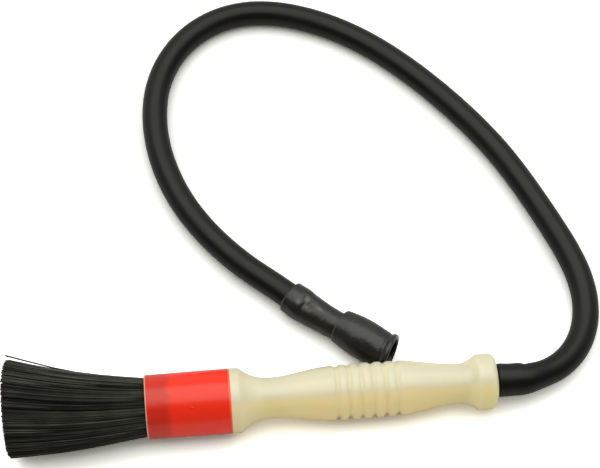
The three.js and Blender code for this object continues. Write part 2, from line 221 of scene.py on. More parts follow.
def dress(piece: Piece, material: Material, slot: str, *nodes: str) -> Piece:
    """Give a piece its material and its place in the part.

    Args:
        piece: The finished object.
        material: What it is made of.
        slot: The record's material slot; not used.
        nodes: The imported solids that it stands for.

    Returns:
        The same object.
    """
    piece.data.materials.append(material)
    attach(piece, ROOT)
    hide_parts(*nodes)
    log.info("%s: %d faces", piece.name, len(piece.data.polygons))
    return piece


def swept_mesh(name: str, lines: list[Line], radius: float, rounds: int) -> bpy.types.Mesh:
    """Sweep a round section along each of several lines.

    Args:
        name: Name of the mesh.
        lines: Points of each line.
        radius: Radius of the section.
        rounds: Extra steps in each quarter of the section; none makes it four-sided.

    Returns:
        One mesh, with the lines' tubes one after another.
    """
    curve = bpy.data.curves.new(name, "CURVE")
    curve.dimensions = "3D"
    curve.bevel_depth = radius
    curve.bevel_resolution = rounds
    curve.use_fill_caps = rounds == 0
    for line in lines:
        spline = curve.splines.new("POLY")
        spline.points.add(len(line) - 1)
        for point, place in zip(spline.points, line):
            point.co = (*place, 1)
    holder = bpy.data.objects.new(name + "_line", curve)
    bpy.context.scene.collection.objects.link(holder)
    seen = holder.evaluated_get(bpy.context.evaluated_depsgraph_get())
    mesh = bpy.data.meshes.new_from_object(seen)
    bpy.data.objects.remove(holder)
    bpy.data.curves.remove(curve)
    return mesh


def paint(colour: object) -> object:
    """A colour with its alpha, or a socket left as it is."""
    return (*colour, 1.0) if isinstance(colour, tuple) else colour


class NodeSheet:
    """A node tree that is filled by short calls."""

    def __init__(self, tree: NodeTree) -> None:
        """Keep the tree to fill."""
        self.tree = tree

    def feed(self, node: Node, values: Values) -> None:
        """Feed a node.

        Args:
            node: The node.
            values: For each input, a plain value or the output socket that feeds it.
        """
        for label, value in values.items():
            if isinstance(value, Socket):
                self.tree.links.new(value, node.inputs[label])
            else:
                node.inputs[label].default_value = value

    def add(self, kind: str, values: Values | None = None, **settings: object) -> Node:
        """Add a node.

        Args:
            kind: Blender's name of the node type.
            values: What feeds its inputs.
            settings: Properties of the node itself.

        Returns:
            The new node.
        """
        node = self.tree.nodes.new(kind)
        for name, setting in settings.items():
            setattr(node, name, setting)
        self.feed(node, values or {})
        return node

    def point(self, kind: str) -> Socket:
        """The point that is shaded, in the coordinates that Blender calls by this name."""
        return self.add("ShaderNodeTexCoord").outputs[kind]

    def along(self, vector: Socket, axis: str) -> Socket:
        """How far a vector reaches along one axis."""
        return self.add("ShaderNodeSeparateXYZ", {0: vector}).outputs[axis]

    def marked(self, name: str) -> Socket:
        """A value that was marked on the points of the piece."""
        return self.add("ShaderNodeAttribute", attribute_name=name).outputs["Fac"]

    def mixed(self, share: object, first: object, second: object, blend: str = "MIX") -> Socket:
        """A colour that goes from the first to the second by a share."""
        sockets = {0: share, 6: paint(first), 7: paint(second)}
        return self.add("ShaderNodeMix", sockets, data_type="RGBA", blend_type=blend).outputs[2]

    def ranged(self, value: Socket, start: Pair, to: Pair = FULL) -> Socket:
        """A value carried from one range to another and held there."""
        limits = {0: value, 1: start[0], 2: start[1], 3: to[0], 4: to[1]}
        return self.add("ShaderNodeMapRange", limits).outputs[0]

    def sum(self, operation: str, *values: object) -> Socket:
        """A sum of some values, named as Blender names it."""
        return self.add("ShaderNodeMath", dict(enumerate(values)), operation=operation).outputs[0]


class SurfaceGroups:
    """The shader node groups that several finishes share."""

    MOTTLE_RANGE = (0.3, 0.7)
    RUB_LEVEL = 0.72
    RUB_EDGE = (0.0, 0.12)
    RUB_NOISE = {"Detail": 6.0, "Roughness": 0.62, "Distortion": 0.8}

    def __init__(self) -> None:
        """Make each group once."""
        self.grain = self._grain()
        self.rubs = self._rubs()

    @staticmethod
    def _new(
        name: str, numbers: tuple[str, ...], results: tuple[str, ...]
    ) -> tuple[NodeSheet, Node, Node]:
        """Start a group that reads a place and some numbers.

        Args:
            name: Name of the group.
            numbers: Names of the numbers.
            results: Names of the values that it gives.

        Returns:
            The group's sheet, and its input and output nodes.
        """
        group = bpy.data.node_groups.new(name, "ShaderNodeTree")
        sockets = group.interface
        sockets.new_socket("Place", in_out="INPUT", socket_type="NodeSocketVector")
        for in_out, labels in (("INPUT", numbers), ("OUTPUT", results)):
            for label in labels:
                sockets.new_socket(label, in_out=in_out, socket_type="NodeSocketFloat")
        sheet = NodeSheet(group)
        return sheet, sheet.add("NodeGroupInput"), sheet.add("NodeGroupOutput")

    def _grain(self) -> NodeTree:
        """Fine surface grain, and a slow mottle of colour and gloss.

        Returns:
            The node group.
        """
        sheet, taken, given = self._new("moulded_grain", ("Grain", "Mottle"), ("Height", "Mottle"))
        fine, slow = (
            sheet.add(
                "ShaderNodeTexNoise",
                {"Vector": taken.outputs["Place"], "Scale": taken.outputs[size], "Detail": detail},
            ).outputs[0]
            for size, detail in (("Grain", 3.0), ("Mottle", 4.0))
        )
        sheet.feed(given, {"Height": fine, "Mottle": sheet.ranged(slow, self.MOTTLE_RANGE)})
        return sheet.tree

    def _rubs(self) -> NodeTree:
        """Sparse rubbed marks with ragged edges.

        Returns:
            The node group.
        """
        sheet, taken, given = self._new("rub_marks", ("Size", "Share"), ("Marks",))
        values = {"Vector": taken.outputs["Place"], "Scale": taken.outputs["Size"]}
        marks = sheet.add("ShaderNodeTexNoise", values | self.RUB_NOISE).outputs[0]
        least = sheet.sum("SUBTRACT", self.RUB_LEVEL, taken.outputs["Share"])
        over = sheet.sum("SUBTRACT", marks, least)
        sheet.feed(given, {"Marks": sheet.ranged(over, self.RUB_EDGE)})
        return sheet.tree


class MaterialSheet(NodeSheet):
    """The nodes of one material, with the point that is shaded and the shared groups."""

    def __init__(self, tree: NodeTree, groups: SurfaceGroups) -> None:
        """Keep the tree and the groups, and find the point.

        Args:
            tree: The material's node tree.
            groups: The shared node groups.
        """
        super().__init__(tree)
        self.groups = groups
        self.place = self.point("Object")

    def grained(self, sizes: Pair, place: Socket | None = None) -> tuple[Socket, Socket]:
        """Place the shared grain.

        Args:
            sizes: The scales of the grain and of the mottle.
            place: The point that it reads, if not the one that is shaded.

        Returns:
            The grain's height and the mottle.
        """
        read = self.place if place is None else place
        values = {"Place": read, "Grain": sizes[0], "Mottle": sizes[1]}
        node = self.add("ShaderNodeGroup", values, node_tree=self.groups.grain)
        return node.outputs["Height"], node.outputs["Mottle"]

    def rubbed(self, size: float, share: float) -> Socket:
        """Place the shared rubbed marks, with their scale and how much they cover."""
        values = {"Place": self.place, "Size": size, "Share": share}
        return self.add("ShaderNodeGroup", values, node_tree=self.groups.rubs).outputs["Marks"]

    def bump(self, height: Socket, strength: float, depth: float) -> Socket:
        """A bumped normal, from a height and its depth in metres."""
        values = {"Height": height, "Strength": strength, "Distance": depth}
        return self.add("ShaderNodeBump", values).outputs[0]

    def thrown(self, colour: Socket, cast: float, mirrored: float) -> Socket:
        """A colour that shows only a share of itself on what lies beside it.

        Args:
            colour: The colour as it is seen.
            cast: Share of it that is thrown as soft light.
            mirrored: Share of it that is seen in the gloss of other pieces.

        Returns:
            The colour for the shader.
        """
        path = self.add("ShaderNodeLightPath")
        for ray, share in (("Is Diffuse Ray", cast), ("Is Glossy Ray", mirrored)):
            dimmed = self.mixed(1.0, colour, (share, share, share), "MULTIPLY")
            colour = self.mixed(path.outputs[ray], colour, dimmed)
        return colour


class Finish:
    """What every finish shares: a material whose principled shader it feeds."""

    def inputs(self, sheet: MaterialSheet) -> Values:
        """For each of the shader's inputs, a plain value or the socket that feeds it."""
        raise NotImplementedError

    def material(self, name: str, groups: SurfaceGroups) -> Material:
        """Make the material.

        Args:
            name: Name of the material.
            groups: The shared node groups.

        Returns:
            The material.
        """
        material = bpy.data.materials.new(name)
        material.use_nodes = True
        sheet = MaterialSheet(material.node_tree, groups)
        sheet.feed(material.node_tree.nodes["Principled BSDF"], self.inputs(sheet))
        return material


@dataclass(frozen=True)
class CreamPlastic(Finish):
    """Waxy natural plastic that lets a little light into itself."""

    pale: Colour = (0.94, 0.75, 0.42)
    deep: Colour = (0.92, 0.72, 0.385)
    # Painted highlight: a paler colour for the side that faces the lamp.
    painted_lit_side: Colour = (0.71, 0.665, 0.51)
    # Painted light: a paler colour for the hollows, the grooves and the front collar.
    painted_hollow_light: Colour = (0.96, 0.86, 0.66)
    grime: Colour = (0.60, 0.45, 0.22)
    # Painted shade: a dark brown for the underside and the bottoms of the lower grooves.
    painted_underside_shade: Colour = (0.21, 0.095, 0.03)
    scatter_depth: float = 0.012
    scatter_reach: Colour = (1.0, 0.88, 0.7)
    scatter_from: Pair = (-0.0184, -0.0064)
    scatter_range: Pair = (0.1, 1.0)
    grain: Pair = (1500.0, 38.0)
    relief: Pair = (0.06, 0.00015)
    rubs: Pair = (160.0, 0.02)
    rub_depth: float = 0.18
    gloss: Pair = (0.28, 0.34)
    shine: float = 0.9
    throw: float = 0.8
    mirrored: float = 0.3

    def inputs(self, sheet: MaterialSheet) -> Values:
        """Mottled cream, changed by the painted light and shade marked on the handle and by its
        rubbed marks.

        Args:
            sheet: The material's nodes.

        Returns:
            What feeds each of the shader's inputs.
        """
        height, mottle = sheet.grained(self.grain)
        marks = sheet.rubbed(*self.rubs)
        body = sheet.mixed(mottle, self.pale, self.deep)
        # Painted light and shade marked on the handle's points: the lit side, the hollows and the
        # underside.
        marked = {"painted_lit_side": self.painted_lit_side, "painted_hollow_light": self.painted_hollow_light, "painted_underside_shade": self.painted_underside_shade}
        for mark, colour in marked.items():
            body = sheet.mixed(sheet.marked(mark), body, colour)
        body = sheet.mixed(sheet.sum("MULTIPLY", marks, self.rub_depth), body, self.grime)
        along = sheet.along(sheet.place, "X")
        return {
            "Base Color": sheet.thrown(body, self.throw, self.mirrored),
            "Roughness": sheet.ranged(mottle, FULL, self.gloss),
            "Normal": sheet.bump(height, *self.relief),
            "Specular IOR Level": self.shine,
            "Subsurface Weight": sheet.ranged(along, self.scatter_from, self.scatter_range),
            "Subsurface Radius": self.scatter_reach,
            "Subsurface Scale": self.scatter_depth,
            "IOR": PLASTIC_IOR,
        }


@dataclass(frozen=True)
class RedPlastic(Finish):
    """See-through red plastic, darker where the bristles' roots stand behind it."""

    clear: Colour = (0.92, 0.022, 0.004)
    backed: Colour = (0.34, 0.012, 0.005)
    cut_edge: Colour = (0.95, 0.42, 0.34)
    joint_edge: Colour = (0.97, 0.16, 0.05)
    throw: float = 0.22
    mirrored: float = 0.15
    cut_band: Pair = (-0.0597, -0.0591)
    joint_band: Pair = (-0.0192, -0.0187)
    edge_share: float = 0.9
    roots_fade: Pair = (-0.049, -0.0455)
    ragged: float = 0.0022
    streak_draw: Triple = (0.16, 1.0, 1.0)
    streak_size: Pair = (620.0, 330.0)
    streaks: Pair = (0.36, 0.58)
    gloss: float = 0.28

    def inputs(self, sheet: MaterialSheet) -> Values:
        """Clear red, streaked by the roots behind it and lighter along both of its edges.

        Args:
            sheet: The material's nodes.

        Returns:
            What feeds each of the shader's inputs.
        """
        along = sheet.along(sheet.place, "X")
        draw = {"Vector": sheet.place, "Scale": self.streak_draw}
        drawn = sheet.add("ShaderNodeMapping", draw).outputs[0]
        _, roots = sheet.grained(self.streak_size, drawn)
        ends = sheet.sum("MULTIPLY_ADD", roots, self.ragged, along)
        behind = sheet.ranged(ends, self.roots_fade, (1.0, 0.0))
        dark = sheet.sum("MULTIPLY", behind, sheet.ranged(roots, FULL, self.streaks))
        body = sheet.mixed(dark, self.clear, self.backed)
        joint = sheet.ranged(along, self.joint_band, (0.0, self.edge_share))
        body = sheet.mixed(joint, body, self.joint_edge)
        cut = sheet.ranged(along, self.cut_band, (self.edge_share, 0.0))
        body = sheet.mixed(cut, body, self.cut_edge)
        return {
            "Base Color": sheet.thrown(body, self.throw, self.mirrored),
            "Roughness": self.gloss,
            "IOR": PLASTIC_IOR,
        }


@dataclass(frozen=True)
class NaturalPlastic(Finish):
    """Plain uncoloured plastic of the pieces inside."""

    pale: Colour = (0.68, 0.66, 0.58)
    deep: Colour = (0.58, 0.56, 0.48)
    grain: Pair = (1200.0, 90.0)
    relief: Pair = (0.1, 0.0001)
    gloss: Pair = (0.35, 0.45)

    def inputs(self, sheet: MaterialSheet) -> Values:
        """A plain mottle over the shared grain.

        Args:
            sheet: The material's nodes.

        Returns:
            What feeds each of the shader's inputs.
        """
        height, mottle = sheet.grained(self.grain)
        return {
            "Base Color": sheet.mixed(mottle, self.pale, self.deep),
            "Roughness": sheet.ranged(mottle, FULL, self.gloss),
            "Normal": sheet.bump(height, *self.relief),
        }


@dataclass(frozen=True)
class BlackFilament(Finish):
    """Black plastic filament, each strand a little lighter or darker than the next, with painted
    light that is brighter at the roots and darker at the tips.
    """

    dark: Colour = (0.0035, 0.0035, 0.003)
    light: Colour = (0.088, 0.090, 0.080)
    grain: Pair = (2500.0, 120.0)
    uneven: Pair = (0.6, 1.2)
    gloss: Pair = (0.46, 0.32)
    shine: float = 0.5

    def inputs(self, sheet: MaterialSheet) -> Values:
        """Black by each strand's own tone, which carries painted light from root to tip, and the
        shared mottle.

        Args:
            sheet: The material's nodes.

        Returns:
            What feeds each of the shader's inputs.
        """
        tone = sheet.marked("tone")
        _, mottle = sheet.grained(self.grain)
        share = sheet.sum("MULTIPLY", tone, sheet.ranged(mottle, FULL, self.uneven))
        return {
            "Base Color": sheet.mixed(share, self.dark, self.light),
            "Roughness": sheet.ranged(tone, FULL, self.gloss),
            "Specular IOR Level": self.shine,
        }


@dataclass(frozen=True)
class BlackRubber(Finish):
    """Black rubber with a faint grey bloom, a few rubbed marks, and painted highlights where they
    are marked.
    """

    black: Colour
    bloom: Colour
    rubbed: Colour
    gloss: Pair
    shine: float
    grain: Pair
    grain_depth: float
    uneven: float
    marks: float
    mark_size: float = 140.0
    mark_depth: float = 0.2
    relief: float = 0.15

    def inputs(self, sheet: MaterialSheet) -> Values:
        """Bloomed black, paler in its rubbed marks and where it is marked with wear and painted
        highlight.

        Args:
            sheet: The material's nodes.

        Returns:
            What feeds each of the shader's inputs.
        """
        height, mottle = sheet.grained(self.grain)
        marks = sheet.rubbed(self.mark_size, self.marks)
        body = sheet.mixed(mottle, self.black, self.bloom)
        faint = sheet.sum("MULTIPLY", marks, self.mark_depth)
        # Marked wear and painted highlights, together with the rubbed marks.
        wear_and_painted_highlight = sheet.sum("MAXIMUM", faint, sheet.marked("wear_and_painted_highlight"))
        waves = sheet.sum("MULTIPLY", mottle, self.uneven)
        height = sheet.sum("ADD", height, waves)
        return {
            "Base Color": sheet.mixed(wear_and_painted_highlight, body, self.rubbed),
            "Roughness": sheet.ranged(mottle, FULL, self.gloss),
            "Normal": sheet.bump(height, self.relief, self.grain_depth),
            "Specular IOR Level": self.shine,
        }


HOSE_RUBBER = BlackRubber(
    black=(0.0022, 0.0023, 0.0019),
    bloom=(0.0040, 0.0041, 0.0034),
    rubbed=(0.012, 0.012, 0.010),
    gloss=(0.33, 0.40),
    shine=0.31,
    grain=(1400.0, 55.0),
    grain_depth=0.00012,
    uneven=0.0,
    marks=0.02,
)
ADAPTOR_RUBBER = BlackRubber(
    black=(0.0044, 0.0045, 0.0040),
    bloom=(0.0075, 0.0076, 0.0067),
    # A light grey for the rubbed marks, the worn edges and the painted highlights.
    rubbed=(0.32, 0.32, 0.30),
    gloss=(0.30, 0.38),
    shine=0.6,
    grain=(900.0, 150.0),
    grain_depth=0.0002,
    uneven=12.0,
    marks=0.06,
)


@dataclass
class Handle:
    """The hollow handle: collar, waist, grooved grip, rear waist and rounded end collar."""

    ferrule_length: float = 41.7
    ferrule_bore: float = 14.7
    fit_gap: float = 0.3
    front_collar_radius: float = 16.05
    front_waist_radius: float = 10.1
    grip_radius: float = 13.5
    grip_crown: float = 0.35
    grip_step: float = 0.35
    rear_waist_radius: float = 9.95
    end_collar_radius: float = 13.95
    front_collar_length: float = 4.4
    cove_length: float = 15.6
    swell_length: float = 28.4
    grip_length: float = 38.0
    rear_taper_length: float = 26.8
    flare_length: float = 10.0
    end_collar_length: float = 5.4
    end_round: Pair = (3.4, 4.0)
    joint_gap: float = 0.05
    edge_round: float = 0.12
    groove_count: int = 6
    groove_pitch: float = 5.95
    groove_width: float = 4.1
    groove_depth: float = 0.88
    bore_radius: float = 3.6
    spigot_front: float = 12.3
    spigot_chamfer: float = 1.0
    tube_seat: Pair = (12.0, 4.6)
    barb_seat: Pair = (14.0, 5.3)
    # Painted light and shade: a painted highlight on the side that faces the lamp, painted shade
    # underneath and in the lower grooves, and painted light in the hollows and grooves.
    lit_side_way: Triple = (0.0, 0.643, 0.766)
    lit_side_range: Pair = (0.05, 0.6)
    underside_shade_range: Pair = (-0.25, 0.4)
    underside_shade_share: float = 0.08
    hollow_light_slope: Pair = (0.05, 0.45)
    hollow_light_share: Pair = (0.34, 0.18)
    groove_light: Pair = (0.2, 0.22)
    sides: int = 112

    @property
    def collar_end(self) -> float:
        """Where the front collar ends."""
        return self.ferrule_length + self.front_collar_length

    @property
    def grip_start(self) -> float:
        """Where the grip starts."""
        return self.collar_end + self.cove_length + self.swell_length

    @property
    def end(self) -> float:
        """Where the handle ends, at the hose."""
        rear = self.grip_length + self.rear_taper_length + self.flare_length
        return self.grip_start + rear + self.end_collar_length + self.end_round[0]

    def dip(self, x: float) -> float:
        """How deep a groove is, as a share of its full depth.

        Args:
            x: Distance along the handle.

        Returns:
            0 between the grooves and 1 at the bottom of one.
        """
        first = self.grip_start
        first += (self.grip_length - (self.groove_count - 1) * self.groove_pitch) / 2
        groove = held(round((x - first) / self.groove_pitch), 0, self.groove_count - 1)
        away = abs(x - first - groove * self.groove_pitch) / (self.groove_width / 2)
        return 0.5 * (1 + math.cos(math.pi * away)) if away < 1 else 0.0

    def grip_outline(self) -> Outline:
        """The crowned grip with its round grooves.

        Returns:
            The points, as (x, radius).
        """
        points = []
        steps = int(self.grip_length / self.grip_step)
        for i in range(1, steps):
            share = i / steps
            x = self.grip_start + share * self.grip_length
            crown = self.grip_radius + self.grip_crown * 4 * share * (1 - share)
            points.append((x, crown - self.groove_depth * self.dip(x)))
        return points

    def outline(self) -> Outline:
        """The whole outline: along the outside from the spigot, and back along the bore.

        Returns:
            The points, as (x, radius).
        """
        spigot = self.ferrule_bore - self.fit_gap
        seat = self.ferrule_length + self.joint_gap
        waist = self.collar_end + self.cove_length
        grip_end = self.grip_start + self.grip_length
        rear_waist = grip_end + self.rear_taper_length
        collar = rear_waist + self.flare_length
        collar_end = (collar + self.end_collar_length, self.end_collar_radius)
        barb_start = self.end - self.barb_seat[0]
        tube_end = self.spigot_front + self.tube_seat[0]
        return [
            (self.spigot_front, spigot - self.spigot_chamfer),
            (self.spigot_front + self.spigot_chamfer, spigot),
            (seat, spigot),
            *rim(seat, self.front_collar_radius, self.edge_round, 4),
            *curved(
                (self.collar_end, self.front_collar_radius),
                ((waist, self.front_waist_radius), (0.13, 0.24), (0.6, 0.0), 28),
                ((self.grip_start, self.grip_radius), (0.34, 0.0), (0.38, 0.16), 28),
            ),
            *self.grip_outline(),
            *curved(
                (grip_end, self.grip_radius),
                ((rear_waist, self.rear_waist_radius), (0.3, 0.22), (0.34, 0.04), 26),
                ((collar, self.end_collar_radius), (0.55, 0.0), (0.28, 0.26), 22),
            ),
            *quarter(collar_end, (self.end, self.end_collar_radius - self.end_round[1]), 14),
            (self.end, self.barb_seat[1]),
            (barb_start, self.barb_seat[1]),
            (barb_start, self.bore_radius),
            (tube_end, self.bore_radius),
            (tube_end, self.tube_seat[1]),
            (self.spigot_front, self.tube_seat[1]),
        ]

    def build(self) -> Piece:
        """Spin the handle, mark its painted shade underneath, its painted highlight on the lit side
        and the painted light in its hollows, and lay it down.

        Returns:
            The object.
        """
        bm = spun(self.outline(), self.sides)
        bm.normal_update()
        marks = bm.verts.layers.float
        painted_underside_shade, painted_lit_side, painted_hollow_light = [marks.new(name) for name in ("painted_underside_shade", "painted_lit_side", "painted_hollow_light")]
        for vert in bm.verts:
            side = Vector((0.0, vert.co.y, vert.co.z)).normalized()
            dip = self.dip(vert.co.x)
            # Painted shade: darker towards the bottom, most of all in the grooves there.
            vert[painted_underside_shade] = max(self.underside_shade_share, dip) * smooth_step(*self.underside_shade_range, -side.z)
            # Painted highlight: paler on the side that faces the lamp.
            vert[painted_lit_side] = smooth_step(*self.lit_side_range, side.dot(Vector(self.lit_side_way)))
            # Painted light: lighter on steep parts of the outline, in the grooves, and on the
            # spigot and front collar.
            share = self.hollow_light_share[0 if vert.co.x < self.grip_start else 1]
            vert[painted_hollow_light] = share * smooth_step(*self.hollow_light_slope, abs(vert.normal.x))
            if dip:
                vert[painted_hollow_light] = dip * (self.groove_light[0] + self.groove_light[1] * vert[painted_lit_side])
            elif vert.co.x < self.collar_end:
                vert[painted_hollow_light] = share / 2
        BRUSH_LIE.lay(bm)
        return new_piece(bm, "grip_handle", Crease.MOULDED)

    def dress(self, groups: SurfaceGroups) -> Piece:
        """Build the handle and finish it in cream plastic."""
        material = CreamPlastic().material("cream_plastic", groups)
        return dress(self.build(), material, "handle", "handle")


@dataclass
class Ferrule:
    """The red sleeve that holds the tuft on the handle."""

    length: float = 41.7
    front_radius: float = 15.8
    rear_radius: float = 16.05
    wall: float = 1.1
    edge: float = 0.35
    joint_edge: float = 0.12
    nub_size: Triple = (1.1, 0.5, 0.36)
    nub_position: float = 23.0
    nub_angle_deg: float = 30.0
    sides: int = 128

    def build(self) -> Piece:
        """Spin the sleeve and set the moulding nub on it.

        Returns:
            The object.
        """
        bore = self.front_radius - self.wall
        chamfer = self.edge / 2
        rear = rim(0.0, self.rear_radius, self.joint_edge, 3)[::-1]
        outline = [
            *rim(0.0, self.front_radius, self.edge, 3),
            *[(self.length - x, radius) for x, radius in rear],
            (self.length, bore + chamfer),
            (self.length - chamfer, bore),
            (chamfer, bore),
            (0.0, bore + chamfer),
        ]
        bm = spun(outline, self.sides)
        self._add_nub(bm)
        BRUSH_LIE.lay(bm)
        return new_piece(bm, "red_ferrule", Crease.MOULDED)

    def _add_nub(self, bm: Shell) -> None:
        """A low oblong nub where the moulding's gate was cut.

        Args:
            bm: The spun sleeve.
        """
        taper = (self.rear_radius - self.front_radius) / self.length
        seat = self.front_radius + taper * self.nub_position
        nub = bmesh.ops.create_uvsphere(bm, u_segments=16, v_segments=10, radius=1.0)["verts"]
        bmesh.ops.scale(bm, vec=self.nub_size, verts=nub)
        bmesh.ops.translate(bm, vec=(self.nub_position, 0, seat), verts=nub)
        turn = Matrix.Rotation(math.radians(self.nub_angle_deg), 4, "X")
        bmesh.ops.transform(bm, matrix=turn, verts=nub)

    def dress(self, groups: SurfaceGroups) -> Piece:
        """Build the ferrule and finish it in red plastic."""
        material = RedPlastic().material("red_plastic", groups)
        return dress(self.build(), material, "ferrule", "ferrule")


@dataclass
class FlowParts:
    """The pieces inside that carry the fluid: the tube into the tuft and the hose's barb."""

    handle_end: float
    tube_radius: float = 4.3
    tube_bore: float = 3.0
    tube_round: float = 0.5
    tube_front: float = -14.0
    tube_rear: float = 24.0
    shank_radius: float = 5.0
    shank_length: float = 13.7
    crest_radius: float = 4.2
    root_radius: float = 3.6
    barb_bore: float = 2.4
    barb_pitch: float = 4.6
    barb_count: int = 3
    barb_flat: float = 0.5
    stand_off: float = 1.0
    sides: int = 48

    def tube(self) -> Piece:
        """The flow tube.

        Returns:
            The object.
        """
        outline = [
            (self.tube_front, self.tube_bore),
            *rim(self.tube_front, self.tube_radius, self.tube_round, 4),
            (self.tube_rear, self.tube_radius),
            (self.tube_rear, self.tube_bore),
        ]
        bm = spun(outline, self.sides)
        BRUSH_LIE.lay(bm)
        return new_piece(bm, "inner_flow_tube", Crease.MOULDED)

    def barb(self) -> Piece:
        """The hose barb.

        Returns:
            The object.
        """
        seat = self.handle_end - self.barb_flat
        outline = [
            (self.handle_end - self.shank_length, self.barb_bore),
            (self.handle_end - self.shank_length, self.shank_radius),
            (seat, self.shank_radius),
            (seat, self.root_radius),
        ]
        for i in range(self.barb_count):
            crest = self.handle_end + self.stand_off + i * self.barb_pitch
            outline += [
                (crest, self.root_radius),
                (crest, self.crest_radius),
                (crest + self.barb_flat, self.crest_radius),
                (crest + self.barb_pitch - self.barb_flat, self.root_radius),
            ]
        tip = self.handle_end + self.stand_off + self.barb_count * self.barb_pitch
        outline += [(tip, self.root_radius), (tip, self.barb_bore)]
        bm = spun(outline, self.sides)
        BRUSH_LIE.lay(bm)
        return new_piece(bm, "pressed_hose_barb", Crease.MOULDED)

    def dress(self, groups: SurfaceGroups) -> list[Piece]:
        """Build both pieces and finish them in plain plastic."""
        material = NaturalPlastic().material("natural_plastic", groups)
        return [
            dress(self.tube(), material, "flow_tube", "flow_tube"),
            dress(self.barb(), material, "hose_barb", "hose_barb"),
        ]


@dataclass
class Tuft:
    """The flared tuft: fine filaments in three rings, each set in its own ring of resin."""

    length: float = 68.0
    root_radius: float = 14.3
    tip_radius: float = 23.9
    flare_power: float = 1.02
    floor_lift: float = 0.8
    lean: float = 2.1
    sag: float = 1.6
    first_radius: float = 5.1
    filament_radius: float = 0.31
    filament_count: int = 1500
    stations: tuple[float, ...] = (-9.0, 0.5, 11.0, 22.0, 33.0, 44.0, 56.0, 68.0)
    turn_spread: float = 0.02
    lock_size: float = 0.58
    lock_pull: float = 0.75
    lock_power: float = 1.4
    stray: float = 0.35
    stray_limit: float = 1.4
    bow: float = 0.2
    trim: float = 0.25
    trim_limits: Pair = (-1.5, 0.2)
    dome: float = 0.7
    far_trim: float = 2.1
    loose_turn_deg: float = 27.0
    loose_inset: float = 0.1
    loose_from: Pair = (28.0, 75.0)
    loose_tips: tuple[Pair, ...] = ((2.4, 66.0), (2.1, 66.4))
    resin: Pair = (6.0, 12.0)
    resin_sides: int = 64
    resin_tone: float = 0.1
    tone: Pair = (0.35, 0.2)
    # Painted light along each strand: brighter at the root, darker towards the tip.
    painted_light_fade: Pair = (2.2, 2.15)
    rings: dict[str, Pair] = field(
        default_factory=lambda: {
            "inner": (4.6, 9.1),
            "middle": (9.4, 11.7),
            "outer": (12.0, 14.4),
        }
    )
    ring_gap: float = 0.15
    seed: int = 7
    lock_seed: int = 3

    def bent(self, y: float, z: float, out: float) -> Vector:
        """Where a bristle that leaves the ferrule at (y, z) has got to.

        Args:
            y: Its root's place across the brush.
            z: Its root's height from the axis.
            out: Distance out from the ferrule's edge.

        Returns:
            The place, in the brush's own frame.
        """
        share = (max(0.0, out) / self.length) ** self.flare_power
        spread = 1 + (self.tip_radius / self.root_radius - 1) * share
        lift = self.floor_lift * self.root_radius * (spread - 1)
        aside = self.lean * share - self.sag * math.sin(math.pi * min(1.0, share))
        return Vector((-out, y * spread + aside, z * spread + lift))

    def filament(self, rng: random.Random, y: float, z: float) -> Line:
        """One filament's line, drawn into a lock with its neighbours and trimmed a little unevenly.

        Args:
            rng: Source of the small differences.
            y: Its root's place across the brush.
            z: Its root's height from the axis.

        Returns:
            Points from inside the resin to the tip.
        """
        limit = self.stray_limit
        pull = noise.noise_vector(Vector((y, z, 0.0)) * self.lock_size) * self.lock_pull
        sway = Vector((0.0, *(held(rng.gauss(0, 1), -limit, limit) * self.stray for _ in "yz")))
        bow = Vector((0.0, rng.gauss(0, self.bow), rng.gauss(0, self.bow)))
        side = Vector((0.0, y, z)) / self.root_radius
        cut = held(rng.gauss(0, self.trim), *self.trim_limits)
        cut -= self.dome * side.length_squared + self.far_trim * max(0.0, side.y) ** 2
        points = []
        for out in self.stations:
            share = max(0.0, out) / self.length
            place = self.bent(y, z, out + cut * share)
            place += Vector((0.0, pull.x, pull.y)) * share**self.lock_power
            place += sway * share + bow * math.sin(math.pi * share)
            points.append(place)
        return points

    def loose(self, off: float, end: float) -> Line:
        """A filament that stands off the tuft's far edge.

        Args:
            off: How far it stands off.
            end: Distance out from the ferrule at its tip.

        Returns:
            Points from inside the resin to the tip.
        """
        turn = math.radians(self.loose_turn_deg)
        way = Vector((0.0, math.cos(turn), math.sin(turn)))
        root = way * (self.root_radius - self.loose_inset)
        return [
            self.bent(root.y, root.z, out) + way * off * smooth_step(*self.loose_from, out)
            for out in (*self.stations[:-1], end)
        ]

    def lines(self) -> dict[str, list[Line]]:
        """Every filament's line, by ring.

        Returns:
            The lines of each named ring.
        """
        rng = random.Random(self.seed)
        noise.seed_set(self.lock_seed)
        found: dict[str, list[Line]] = {name: [] for name in self.rings}
        inner, outer = self.first_radius**2, self.root_radius**2
        for i in range(self.filament_count):
            radius = math.sqrt(inner + (outer - inner) * (i + 0.5) / self.filament_count)
            angle = i * GOLDEN_ANGLE + rng.uniform(-self.turn_spread, self.turn_spread)
            line = self.filament(rng, radius * math.cos(angle), radius * math.sin(angle))
            reached = (n for n, (_, edge) in self.rings.items() if radius < edge + self.ring_gap)
            found[next(reached, "outer")].append(line)
        found["outer"] += [self.loose(*tip) for tip in self.loose_tips]
        return found

    def build(self, ring: str, lines: list[Line]) -> Piece:
        """One ring of the tuft.

        Args:
            ring: Its name.
            lines: Its filaments' lines.

        Returns:
            The object, with each strand's tone on its points, brighter at the root and darker at
            the tip as painted light.
        """
        rng = random.Random(self.seed + len(lines))
        swept = swept_mesh("filaments_" + ring, lines, self.filament_radius, 0)
        inner, outer = self.rings[ring]
        front, back = self.resin
        section = [(front, inner), (front, outer), (back, outer), (back, inner)]
        bm = spun(section, self.resin_sides)
        tone = bm.verts.layers.float.new("tone")
        for vert in bm.verts:
            vert[tone] = self.resin_tone
        set_count = len(bm.verts)
        bm.from_mesh(swept)
        bm.verts.ensure_lookup_table()
        each = len(swept.vertices) // len(lines)
